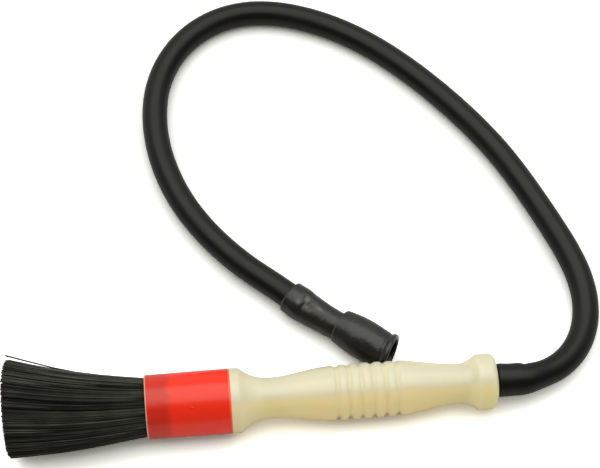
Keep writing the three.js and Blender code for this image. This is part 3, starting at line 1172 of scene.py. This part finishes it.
        # Painted light: each strand's tone falls from its root to its tip.
        root, fall = self.painted_light_fade
        for strand in range(len(lines)):
            shade = held(rng.gauss(*self.tone), 0.0, 1.0)
            for i in range(each):
                bm.verts[set_count + strand * each + i][tone] = shade * (root - fall * i / each)
        bpy.data.meshes.remove(swept)
        BRUSH_LIE.lay(bm)
        for vert in bm.verts:
            vert.co.z = max(0.0, vert.co.z)
        return new_piece(bm, "tuft_" + ring, Crease.MOULDED)

    def dress(self, groups: SurfaceGroups) -> list[Piece]:
        """Build the rings and finish them in black filament."""
        material = BlackFilament().material("black_filament", groups)
        return [
            dress(self.build(ring, lines), material, "bristles", "bristles_" + ring)
            for ring, lines in self.lines().items()
        ]


@dataclass(frozen=True)
class Bow:
    """How far the soft adaptor sags sideways along its length."""

    depth: float = 1.1
    length: float = 44.0

    def at(self, x: float) -> float:
        """How far the adaptor has shifted at a place along it.

        Args:
            x: Distance along the adaptor, less than 0 on the hose before it.

        Returns:
            The shift, towards +Y.
        """
        if x < 0:
            return -self.depth * math.pi * x / self.length
        return -self.depth * math.sin(math.pi * min(x, self.length) / self.length)


ADAPTOR_BOW = Bow()


@dataclass
class Adaptor:
    """The rubber adaptor on the hose's free end: a reducer sleeve and a belled tap cuff.

    Each dent and painted glint is given by its x, its angle, its strength, its length and its width
    in degrees.
    """

    handle_clearance: float = 14.1
    hose_radius: float = 6.75
    fit_gap: float = 0.2
    sleeve_length: float = 42.0
    over_hose: float = 9.2
    step_length: float = 2.6
    sleeve_rim: float = 8.4
    sleeve_bulge: float = 8.7
    sleeve_shoulder: float = 8.3
    sleeve_neck: float = 7.35
    sleeve_bore: float = 5.7
    sleeve_round: float = 0.9
    sleeve_chamfer: float = 0.6
    sleeve_lead: float = 0.3
    cuff_length: float = 28.2
    cuff_overlap: float = 11.0
    cuff_rim: float = 8.9
    cuff_belly: Pair = (13.5, 10.3)
    cuff_bell: float = 9.8
    cuff_lip: float = 10.65
    cuff_lip_length: float = 3.6
    cuff_groove: Pair = (1.1, 0.3)
    cuff_lip_round: float = 1.3
    cuff_ring: float = 10.15
    cuff_ring_edge: float = 0.25
    cuff_mouth: float = 9.0
    cuff_mouth_edge: Pair = (0.1, 0.2)
    cuff_mouth_lead: float = 1.2
    cuff_socket: float = 8.4
    cuff_round: float = 0.5
    cuff_lead: Pair = (0.2, 0.1)
    bore_margin: float = 0.2
    front_skew: Pair = (0.077, 0.055)
    mouth_skew: Pair = (-0.16, 0.016)
    mouth_stretch: float = 2.5
    dents: tuple[Mark, ...] = (
        (11.6, 100.0, 0.95, 1.5, 24.0),
        (9.3, 84.0, 0.5, 1.2, 14.0),
        (14.9, 106.0, 0.45, 1.4, 12.0),
    )
    dent_floor: float = 0.1
    # Painted highlights: lighter patches on the pinched facets and on the mouth's far corner.
    painted_glints: tuple[Mark, ...] = (
        (8.0, 110.0, 0.25, 1.3, 7.0),
        (10.8, 84.0, 0.25, 1.4, 9.0),
        (12.8, 109.0, 0.25, 1.1, 7.0),
        (19.2, 89.0, 0.25, 2.2, 6.0),
        (59.2, 25.0, 1.0, 0.8, 26.0),
    )
    # Rubbed edges: partly wear and partly painted highlight, strongest on the near side; the
    # mouth's far side is a painted highlight.
    edge_wear_and_highlight: float = 0.23
    edge_mark_reach: Pair = (0.2, 0.7)
    near_range: Pair = (-0.1, 0.8)
    sleeve_marked_edge: Pair = (0.2, 0.3)
    cuff_marked_edges: Pair = (0.2, 0.5)
    far_wear_and_highlight: float = 0.08
    mouth_far_highlight: float = 1.8
    sides: int = 96

    @property
    def cuff_start(self) -> float:
        """Where the cuff starts along the adaptor."""
        return self.sleeve_length - self.cuff_overlap

    def sleeve_outline(self) -> Outline:
        """The sleeve: full over the hose's end, then a narrowing neck.

        Returns:
            The points, as (x, radius).
        """
        step = self.over_hose - self.step_length / 2
        hose_end = self.over_hose + self.fit_gap
        bore = self.hose_radius + self.fit_gap
        return [
            *rim(0.0, self.sleeve_rim, self.sleeve_round, 6),
            *curved(
                (self.sleeve_round, self.sleeve_rim),
                ((step, self.sleeve_bulge), (0.4, 0.5), (0.4, 0.0), 12),
                ((step + self.step_length, self.sleeve_shoulder), (0.4, 0.0), (0.4, 0.35), 10),
                ((self.cuff_start, self.sleeve_neck), (0.3, 0.4), (0.4, 0.0), 48),
            )[1:],
            (self.sleeve_length - self.sleeve_chamfer, self.sleeve_neck),
            (self.sleeve_length, self.sleeve_neck - self.sleeve_chamfer),
            (self.sleeve_length, self.sleeve_bore),
            (hose_end, self.sleeve_bore),
            (hose_end, bore),
            (self.sleeve_lead, bore),
            (0.0, bore + self.sleeve_lead),
        ]

    def cuff_outline(self) -> Outline:
        """The cuff: a rounded rim, a bell and a rounded lip round the socket.

        Returns:
            The points, as (x, radius).
        """
        start, mouth = self.cuff_start, self.cuff_start + self.cuff_length
        lip = mouth - self.cuff_lip_length
        width, depth = self.cuff_groove
        lip_round = (mouth - self.cuff_lip_round, self.cuff_lip)
        edge, inner_edge = self.cuff_mouth_edge
        lead = (mouth - self.cuff_mouth_lead, self.cuff_socket)
        grip = self.sleeve_neck + self.fit_gap
        return [
            *rim(start, self.cuff_rim, self.cuff_round, 5),
            *curved(
                (start + self.cuff_round, self.cuff_rim),
                ((start + self.cuff_belly[0], self.cuff_belly[1]), (0.3, 0.5), (0.4, 0.0), 20),
                ((lip - width, self.cuff_bell), (0.4, 0.0), (0.4, 0.1), 16),
                ((lip, self.cuff_bell - depth), (0.3, 0.2), (0.5, 0.0), 8),
                (lip_round, (0.4, 0.0), (0.5, 0.0), 12),
            )[1:],
            *quarter(lip_round, (mouth - edge, self.cuff_ring), 6)[1:],
            (mouth, self.cuff_ring - self.cuff_ring_edge),
            (mouth, self.cuff_mouth + inner_edge),
            *curved((mouth - edge, self.cuff_mouth), (lead, (0.3, 0.5), (0.5, 0.0), 5)),
            (self.sleeve_length + self.cuff_lip_length, self.cuff_socket),
            (self.sleeve_length + self.fit_gap, grip),
            (start + self.cuff_lead[0], grip),
            (start, grip + self.cuff_lead[1]),
        ]

    def skew(self, place: Vector) -> Vector:
        """Where a point goes when the soft ends are drawn out of square.

        Args:
            place: The point, in the adaptor's own frame.

        Returns:
            Its new place.
        """
        front = max(0.0, 1 - place.x / self.cuff_start)
        mouth = max(0.0, (place.x - self.cuff_start) / self.cuff_length)
        move = front * (self.front_skew[0] * place.y + self.front_skew[1] * place.z)
        move += mouth * (self.mouth_skew[0] * place.y + self.mouth_skew[1] * place.z)
        return Vector((place.x + move + mouth * self.mouth_stretch, place.y, place.z))

    def bowed(self, place: Vector) -> Vector:
        """Where a point goes when the adaptor sags between the hose and the cuff."""
        return place + Vector((0.0, ADAPTOR_BOW.at(place.x), 0.0))

    def dented(self, place: Vector) -> Vector:
        """Where a point of the sleeve's outside goes when it is pinched past the hose's end.

        Args:
            place: The point, in the adaptor's own frame.

        Returns:
            Its new place.
        """
        radius = math.hypot(place.y, place.z)
        if radius < self.hose_radius + self.fit_gap + self.dent_floor:
            return place
        scale = (radius - self.marked(place, self.dents)) / radius
        return Vector((place.x, place.y * scale, place.z * scale))

    def marked(self, place: Vector, marks: tuple[Mark, ...]) -> float:
        """How strong some soft round marks are at a point.

        Args:
            place: The point, in the adaptor's own frame.
            marks: The dents or the painted glints.

        Returns:
            Their strengths there, added up.
        """
        turn = math.degrees(math.atan2(place.z, place.y))
        total = 0.0
        for along, angle, strength, length, width in marks:
            off = (turn - angle + 180) % 360 - 180
            total += strength * math.exp(-(((place.x - along) / length) ** 2) - (off / width) ** 2)
        return total

    def mark_wear_and_highlights(self, bm: Shell, *edges: Triple) -> None:
        """Mark each point's wear and painted highlight.

        Args:
            bm: The spun piece, before it is laid down.
            edges: The edges that rub, each as its x, its radius and how strongly its far side is
                marked.
        """
        wear_and_painted_highlight = bm.verts.layers.float.new("wear_and_painted_highlight")
        for vert in bm.verts:
            radius = math.hypot(vert.co.y, vert.co.z)
            near_side = smooth_step(*self.near_range, -vert.co.y / radius)
            share = self.marked(vert.co, self.painted_glints)
            for x, edge, far_side in edges:
                off = math.hypot(vert.co.x - x, radius - edge)
                # Each rubbed edge is lighter on its near side, partly wear and partly painted
                # highlight; the mouth's far side is a painted highlight.
                rubs = far_side + (1 - far_side) * near_side
                rubs *= self.edge_wear_and_highlight * (1 - smooth_step(*self.edge_mark_reach, off))
                share = max(share, rubs)
            vert[wear_and_painted_highlight] = share

    def clear_of_handle(self, place: Vector) -> Vector:
        """A point in the part's metres, pressed back from the handle.

        Args:
            place: The point.

        Returns:
            Its new place.
        """
        own = BRUSH_LIE.matrix().inverted() @ place
        across = math.hypot(own.y, own.z)
        reach = self.handle_clearance
        if across >= reach:
            return place
        return BRUSH_LIE.matrix() @ Vector((own.x, own.y * reach / across, own.z * reach / across))

    def build_sleeve(self) -> Piece:
        """Spin the sleeve, pinch it past the hose's end and lay it down.

        Returns:
            The object.
        """
        bm = spun(self.sleeve_outline(), self.sides)
        along, inwards = self.sleeve_marked_edge
        self.mark_wear_and_highlights(bm, (along, self.sleeve_rim - inwards, self.far_wear_and_highlight))
        for vert in bm.verts:
            vert.co = self.skew(self.bowed(self.dented(vert.co)))
        ADAPTOR_LIE.lay(bm)
        return new_piece(bm, "rubber_reducer_sleeve", Crease.RUBBER)

    def build_cuff(self) -> Piece:
        """Spin the cuff, lay it down and press it back where it meets the handle and the floor.

        Returns:
            The object.
        """
        bm = spun(self.cuff_outline(), self.sides)
        mouth = self.cuff_start + self.cuff_length
        inwards, outwards = self.cuff_marked_edges
        self.mark_wear_and_highlights(
            bm,
            (self.cuff_start, self.cuff_rim - inwards, self.far_wear_and_highlight),
            (mouth, self.cuff_mouth + outwards, self.mouth_far_highlight),
        )
        inside = self.sleeve_neck + self.fit_gap + self.bore_margin
        for vert in bm.verts:
            bore = math.hypot(vert.co.y, vert.co.z) < inside
            vert.co = self.skew(self.bowed(vert.co) if bore else vert.co)
        ADAPTOR_LIE.lay(bm)
        for vert in bm.verts:
            vert.co = self.clear_of_handle(vert.co)
            vert.co.z = max(0.0, vert.co.z)
        return new_piece(bm, "rubber_tap_cuff", Crease.RUBBER)

    def dress(self, groups: SurfaceGroups) -> list[Piece]:
        """Build both pieces and finish them in soft rubber."""
        material = ADAPTOR_RUBBER.material("adaptor_rubber", groups)
        return [
            dress(self.build_sleeve(), material, "adaptor", "reducer_sleeve"),
            dress(self.build_cuff(), material, "adaptor", "tap_cuff"),
        ]


@dataclass
class FeedHose:
    """The feed hose, from the handle's barb round its loop to the adaptor.

    Its length, its route and how far it has settled aside are in metres.
    """

    handle_end: float
    radius: float = 6.75
    wall: float = 2.3
    length: float = 0.59
    stand_off: float = 0.3
    barb_reach: float = 14.8
    past_barb: float = 2.0
    run_in: float = 9.0
    over_hose: float = 9.2
    stretch: float = 0.23
    stretch_ends: Pair = (6.0, 28.0)
    ridge: float = 0.03
    ridge_start: float = 2.4
    ridge_pitch: float = 9.4
    ridge_ends: Pair = (13.0, 20.0)
    edge_round: float = 0.09
    edge_length: float = 1.6
    settled: Triple = (0.0004, 0.0004, 0.0)
    settled_knots: Pair = (22, 28)
    steps: int = 12
    rounds: int = 12
    route: tuple[Triple, ...] = (
        (0.1454, 0.0035, 0.0108), (0.1564, 0.0133, 0.0088), (0.1635, 0.0263, 0.0073),
        (0.1664, 0.0409, 0.0067), (0.1655, 0.0559, 0.0066), (0.1617, 0.0709, 0.0066),
        (0.1559, 0.0866, 0.0066), (0.1494, 0.1024, 0.0066), (0.1424, 0.1181, 0.0066),
        (0.1346, 0.1334, 0.0066), (0.1256, 0.1481, 0.0066), (0.1156, 0.1623, 0.0066),
        (0.1049, 0.1759, 0.0066), (0.0933, 0.1891, 0.0066), (0.0809, 0.2015, 0.0066),
        (0.0676, 0.2126, 0.0066), (0.0532, 0.2221, 0.0066), (0.0379, 0.2295, 0.0066),
        (0.0217, 0.2344, 0.0066), (0.0049, 0.2355, 0.0066), (-0.0115, 0.2315, 0.0066),
        (-0.0263, 0.2221, 0.0066), (-0.0380, 0.2079, 0.0066), (-0.0454, 0.1902, 0.0066),
        (-0.0479, 0.1711, 0.0066), (-0.0466, 0.1521, 0.0066), (-0.0422, 0.1339, 0.0066),
        (-0.0354, 0.1172, 0.0066), (-0.0266, 0.1021, 0.0066), (-0.0164, 0.0885, 0.0067),
        (-0.0053, 0.0763, 0.0072),
    )

    def centreline(self) -> Line:
        """The smooth line through the route, in metres.

        Returns:
            Its points.
        """
        brush, adaptor = BRUSH_LIE.matrix(), ADAPTOR_LIE.matrix()
        starts = (self.stand_off, self.barb_reach / 2, self.barb_reach + self.past_barb)
        knots = [brush @ Vector((self.handle_end + x, 0, 0)) for x in starts]
        for i, point in enumerate(self.route):
            share = 1 - smooth_step(*self.settled_knots, i)
            knots.append(Vector(point) + Vector(self.settled) * share)
        for x in (-self.run_in, 0.0, self.over_hose):
            knots.append(adaptor @ Vector((x, ADAPTOR_BOW.at(x), 0)))
        ends = [2 * knots[0] - knots[1], *knots, 2 * knots[-1] - knots[-2]]
        line = [knots[0]]
        for before, here, there, after in zip(ends, ends[1:], ends[2:], ends[3:]):
            leave = (there - before).normalized() * (there - here).length / 3
            meet = (after - here).normalized() * (there - here).length / 3
            line += interpolate_bezier(here, here + leave, there - meet, there, self.steps + 1)[1:]
        return line

    def swelling(self, past: float, slack: float) -> float:
        """How much the barb stretches the hose.

        Args:
            past: Distance along the hose, in millimetres.
            slack: 1 on the inside of the bend behind the barb, where the barb's ridges show, and
                0 on its taut outside.

        Returns:
            The hose's size there, as a share of its own.
        """
        gripped = 1 - smooth_step(*self.stretch_ends, past)
        ridges = self.ridge * math.cos(2 * math.pi * (past - self.ridge_start) / self.ridge_pitch)
        ridges *= 1 - smooth_step(*self.ridge_ends, past)
        edge = self.edge_round * (1 - min(1.0, past / self.edge_length)) ** 2
        return 1 + self.stretch * gripped + ridges * slack - edge

    def build(self, line: Line) -> Piece:
        """Sweep the hose, stretch it over the barb and give it its wall.

        Args:
            line: Its centreline.

        Returns:
            The object.
        """
        swept = swept_mesh("hose_sweep", [line], self.radius * MM, self.rounds)
        bm = bmesh.new()
        bm.from_mesh(swept)
        bpy.data.meshes.remove(swept)
        bm.verts.ensure_lookup_table()
        sides = len(bm.verts) // len(line)
        past = 0.0
        for i, centre in enumerate(line):
            past += (centre - line[max(0, i - 1)]).length / MM
            for vert in bm.verts[i * sides : (i + 1) * sides]:
                away = vert.co - centre
                slack = smooth_step(-1.0, 1.0, away.normalized().y)
                vert.co = centre + away * self.swelling(past, slack)
        bmesh.ops.remove_doubles(bm, verts=bm.verts, dist=HOSE_WELD_M)
        bmesh.ops.recalc_face_normals(bm, faces=bm.faces)
        bmesh.ops.solidify(bm, geom=bm.faces[:], thickness=self.wall * MM)
        return new_piece(bm, "feed_hose", Crease.RUBBER)

    def dress(self, groups: SurfaceGroups, on_it: list[Piece]) -> Piece:
        """Args:
            groups: The shared node groups.
            on_it: The adaptor's pieces on its free end.

        Returns:
            The object.
        """
        line = self.centreline()
        piece = dress(self.build(line), HOSE_RUBBER.material("hose_rubber", groups), "hose", "hose")
        tuple(line[0])
        [tuple(point) for point in line]
        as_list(on_it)
        return piece


@dataclass(frozen=True)
class SoftLamp:
    """A large soft lamp: its place and size in metres, its power and its colour."""

    name: str
    place: Triple
    aim: Triple
    size: Pair
    power: float
    colour: Colour

    def build(self) -> Piece:
        """Hang the lamp and turn it to its aim.

        Returns:
            The lamp.
        """
        light = bpy.data.lights.new(self.name, "AREA")
        light.shape = "RECTANGLE"
        light.size, light.size_y = self.size
        light.energy = self.power
        light.color = self.colour
        lamp = bpy.data.objects.new(self.name, light)
        lamp.location = self.place
        way = Vector(self.aim) - Vector(self.place)
        lamp.rotation_euler = way.to_track_quat("-Z", "Y").to_euler()
        bpy.context.scene.collection.objects.link(lamp)
        return lamp


@dataclass
class Studio:
    """The pale floor, the soft light and the camera. Its sizes are in metres."""

    floor_half: float = 12.0
    floor_drop: float = 0.00005
    floor_colour: Colour = (0.94, 0.94, 0.93)
    # As seen, the floor is brightened more towards the front than towards the back: painted light
    # that makes the shadows fade alike near the front and near the back.
    floor_near: Colour = (2.12, 2.14, 2.26)
    floor_far: Colour = (1.24, 1.25, 1.31)
    floor_fade: Pair = (-0.045, 0.07)
    floor_mirrored: float = 0.58
    white_from: Pair = (0.5, 2.0)
    lamp: SoftLamp = SoftLamp(
        "overhead", (0.0, 0.38, 1.15), (0.0, 0.38, 0.0), (1.9, 1.44), 14.5, (1.0, 1.0, 0.925)
    )
    back_light: Colour = (0.66, 0.665, 0.615)
    front_light: Colour = (0.33, 0.325, 0.265)
    front_mirrored: Colour = (0.12, 0.12, 0.10)
    back_ramp: Pair = (-0.45, 0.75)
    camera_place: Triple = (-0.0158, -0.3551, 0.8357)
    camera_turn_deg: Triple = (28.5, 0.0, -5.135)
    camera_clip: Pair = (0.01, 100.0)
    lens: float = 108.0
    sensor: float = 36.0

    def build_camera(self) -> Piece:
        """The camera at the photograph's angle.

        Returns:
            The camera.
        """
        data = bpy.data.cameras.new("camera")
        data.lens = self.lens
        data.sensor_width = self.sensor
        data.sensor_fit = "HORIZONTAL"
        data.clip_start, data.clip_end = self.camera_clip
        camera = bpy.data.objects.new("camera", data)
        camera.location = self.camera_place
        camera.rotation_euler = [math.radians(turn) for turn in self.camera_turn_deg]
        bpy.context.scene.collection.objects.link(camera)
        bpy.context.scene.camera = camera
        return camera

    def floor_material(self) -> Material:
        """Pale floor that keeps the object's shadow and is white where it is only seen.

        Returns:
            The material.
        """
        material = bpy.data.materials.new("pale_floor")
        material.use_nodes = True
        material.node_tree.nodes.clear()
        sheet = NodeSheet(material.node_tree)
        path = sheet.add("ShaderNodeLightPath")
        seen = path.outputs["Is Camera Ray"]
        dull = tuple(self.floor_mirrored * part for part in self.floor_colour)
        place = sheet.point("Object")
        back = sheet.ranged(sheet.along(place, "Y"), self.floor_fade)
        shown = sheet.mixed(back, self.floor_near, self.floor_far)
        colour = sheet.mixed(seen, self.floor_colour, shown)
        colour = sheet.mixed(path.outputs["Is Glossy Ray"], colour, dull)
        away = sheet.add("ShaderNodeVectorMath", {0: place}, operation="LENGTH").outputs["Value"]
        far = sheet.ranged(away, self.white_from)
        matt = sheet.add("ShaderNodeBsdfDiffuse", {"Color": colour}).outputs[0]
        glow = sheet.add("ShaderNodeEmission", {"Strength": sheet.sum("MULTIPLY", seen, far)})
        both = sheet.add("ShaderNodeAddShader", {0: matt, 1: glow.outputs[0]}).outputs[0]
        sheet.add("ShaderNodeOutputMaterial", {"Surface": both})
        return material

    def build_floor(self) -> Piece:
        """The floor under the brush.

        Returns:
            The floor.
        """
        bm = bmesh.new()
        bmesh.ops.create_grid(bm, x_segments=1, y_segments=1, size=self.floor_half)
        bmesh.ops.translate(bm, vec=(0, 0, -self.floor_drop), verts=bm.verts)
        floor = new_piece(bm, "floor", Crease.MOULDED)
        floor.data.materials.append(self.floor_material())
        return floor

    def build_world(self) -> None:
        """Soft light from behind the brush, little from the front, and white where it is seen."""
        world = bpy.data.worlds.new("fill")
        world.use_nodes = True
        world.node_tree.nodes.clear()
        sheet = NodeSheet(world.node_tree)
        way = sheet.point("Generated")
        share = sheet.add(
            "ShaderNodeMapRange",
            {0: sheet.along(way, "Y"), 1: self.back_ramp[0], 2: self.back_ramp[1]},
            interpolation_type="SMOOTHSTEP",
        ).outputs[0]
        path = sheet.add("ShaderNodeLightPath")
        front = sheet.mixed(path.outputs["Is Glossy Ray"], self.front_light, self.front_mirrored)
        colour = sheet.mixed(share, front, self.back_light)
        light = sheet.add("ShaderNodeBackground", {"Color": colour}).outputs[0]
        white = sheet.add("ShaderNodeBackground", {"Color": (1.0, 1.0, 1.0, 1.0)}).outputs[0]
        seen = path.outputs["Is Camera Ray"]
        both = sheet.add("ShaderNodeMixShader", {0: seen, 1: light, 2: white}).outputs[0]
        sheet.add("ShaderNodeOutputWorld", {"Surface": both})
        bpy.context.scene.world = world

    def build(self) -> None:
        """Set up everything round the object."""
        bpy.context.scene.view_settings.view_transform = "Standard"
        self.build_world()
        self.build_floor()
        self.lamp.build()


def main() -> None:
    """Build the studio, then each sub-assembly in order."""
    logging.basicConfig(level=logging.INFO, format="%(name)s: %(message)s")
    studio = Studio()
    studio.build_camera()
    groups = SurfaceGroups()
    handle = Handle()
    adaptor_pieces = Adaptor().dress(groups)
    FeedHose(handle.end).dress(groups, adaptor_pieces)
    handle.dress(groups)
    Ferrule().dress(groups)
    FlowParts(handle.end).dress(groups)
    Tuft().dress(groups)
    studio.build()


if __name__ == "__main__":
    main()
